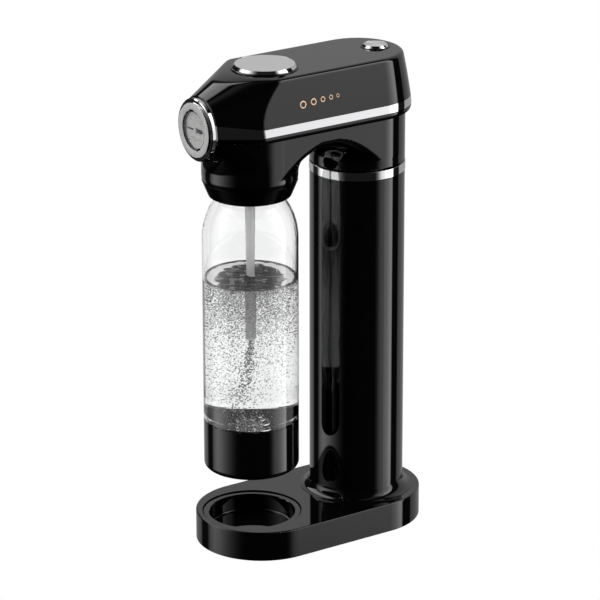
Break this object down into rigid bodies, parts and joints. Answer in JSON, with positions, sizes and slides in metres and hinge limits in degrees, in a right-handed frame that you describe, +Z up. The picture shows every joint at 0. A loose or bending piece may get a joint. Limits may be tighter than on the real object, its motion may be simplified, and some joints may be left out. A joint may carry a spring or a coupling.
{
  "type": "soda carbonator",
  "caption": "Counter-top soda carbonator: stadium base, round gas column and a head with gauge, two buttons and a bayonet socket that holds a clear bottle over a drip tray.",
  "frame": {"origin": "bottom centre of the bounding box, on the surface it stands on", "axes": "+Z up, -Y towards the gauge at the front, +X to the right of a viewer who faces the gauge"},
  "size_m": [0.115, 0.221, 0.4285],
  "materials": {
    "gloss_black": "gloss",
    "inner_plastic": "satin",
    "chrome_trim": "polished",
    "satin_metal": "satin",
    "steel": "satin",
    "brass": "satin",
    "black_rubber": "matte",
    "cylinder_metal": "satin",
    "clear_bottle": "polished",
    "clear_lens": "polished",
    "dial_face": "satin",
    "needle_black": "satin",
    "tube_grey": "satin"
  },
  "bodies": {
    "root": {"base_shell": "gloss_black", "base_plate": "inner_plastic", "rubber_feet": "black_rubber", "base_screws": "steel", "column_tube": "gloss_black", "column_screws": "steel", "cylinder_guide": "inner_plastic", "column_ring": "chrome_trim", "head_top_cover": "gloss_black", "head_trim": "chrome_trim", "head_lower_shell": "gloss_black", "head_chassis": "steel", "head_screws": "steel", "lever_bracket": "steel", "lever_pin": "steel", "valve_block": "brass", "cylinder_seal": "black_rubber", "nozzle_block": "brass", "carbonation_tube": "tube_grey", "bottle_seal": "black_rubber", "socket_flange": "inner_plastic", "relief_valve": "brass", "gas_hose": "black_rubber", "vent_hose": "black_rubber", "button_guide": "inner_plastic", "carbonate_bezel": "gloss_black", "release_guide": "inner_plastic", "release_bezel": "gloss_black", "gauge_case": "inner_plastic", "gauge_bezel": "chrome_trim", "gauge_lens": "clear_lens", "gauge_dial": "dial_face", "gauge_movement": "brass", "gauge_stem": "brass"},
    "carbonate_button": {"carbonate_button": "satin_metal", "carbonate_stem": "inner_plastic", "carbonate_spring": "steel"},
    "valve_lever": {"valve_lever": "steel"},
    "valve_plunger": {"valve_plunger": "brass"},
    "release_button": {"release_button": "satin_metal", "release_stem": "inner_plastic", "release_spring": "steel"},
    "gauge_needle": {"gauge_needle": "needle_black"},
    "lock_ring": {"lock_ring": "inner_plastic"},
    "bottle": {"bottle_body": "clear_bottle", "bottle_base_cup": "gloss_black"},
    "gas_cylinder": {"gas_cylinder_body": "cylinder_metal", "gas_cylinder_valve": "brass"},
    "drip_tray": {"drip_tray": "gloss_black"}
  },
  "joints": [
    {"name": "carbonate_press", "type": "slide", "parent": "root", "child": "carbonate_button", "axis": [0, 0, -1], "range_m": [0, 0.006], "stiffness_N_per_m": 1500, "springref_m": -0.002, "deforming": ["carbonate_spring"]},
    {"name": "lever_tilt", "type": "hinge", "parent": "root", "child": "valve_lever", "pos_m": [0, 0.088, 0.3935], "axis": [1, 0, 0], "range_deg": [0, 2.75]},
    {"name": "plunger_slide", "type": "slide", "parent": "root", "child": "valve_plunger", "axis": [0, 0, -1], "range_m": [0, 0.0016]},
    {"name": "release_press", "type": "slide", "parent": "root", "child": "release_button", "axis": [0, 0, -1], "range_m": [0, 0.003], "stiffness_N_per_m": 600, "springref_m": -0.002, "deforming": ["release_spring"]},
    {"name": "needle_turn", "type": "hinge", "parent": "root", "child": "gauge_needle", "pos_m": [0, -0.104, 0.382], "axis": [0, 1, 0], "range_deg": [-55, 215]},
    {"name": "lock_turn", "type": "hinge", "parent": "root", "child": "lock_ring", "pos_m": [0, -0.055, 0.338], "axis": [0, 0, 1], "range_deg": [0, 60]},
    {"name": "bottle_slide", "type": "slide", "parent": "lock_ring", "child": "bottle", "axis": [0, 0, 1], "range_m": [-0.03, 0]},
    {"name": "cylinder_slide", "type": "slide", "parent": "root", "child": "gas_cylinder", "axis": [0, 0, 1], "range_m": [-0.365, 0]},
    {"name": "tray_lift", "type": "slide", "parent": "root", "child": "drip_tray", "axis": [0, 0, 1], "range_m": [0, 0.03]}
  ],
  "couplings": [
    {"joint": "lever_tilt", "follows": "carbonate_press", "rad_per_m": 7.8431},
    {"joint": "plunger_slide", "follows": "carbonate_press", "ratio": 0.25882}
  ]
}
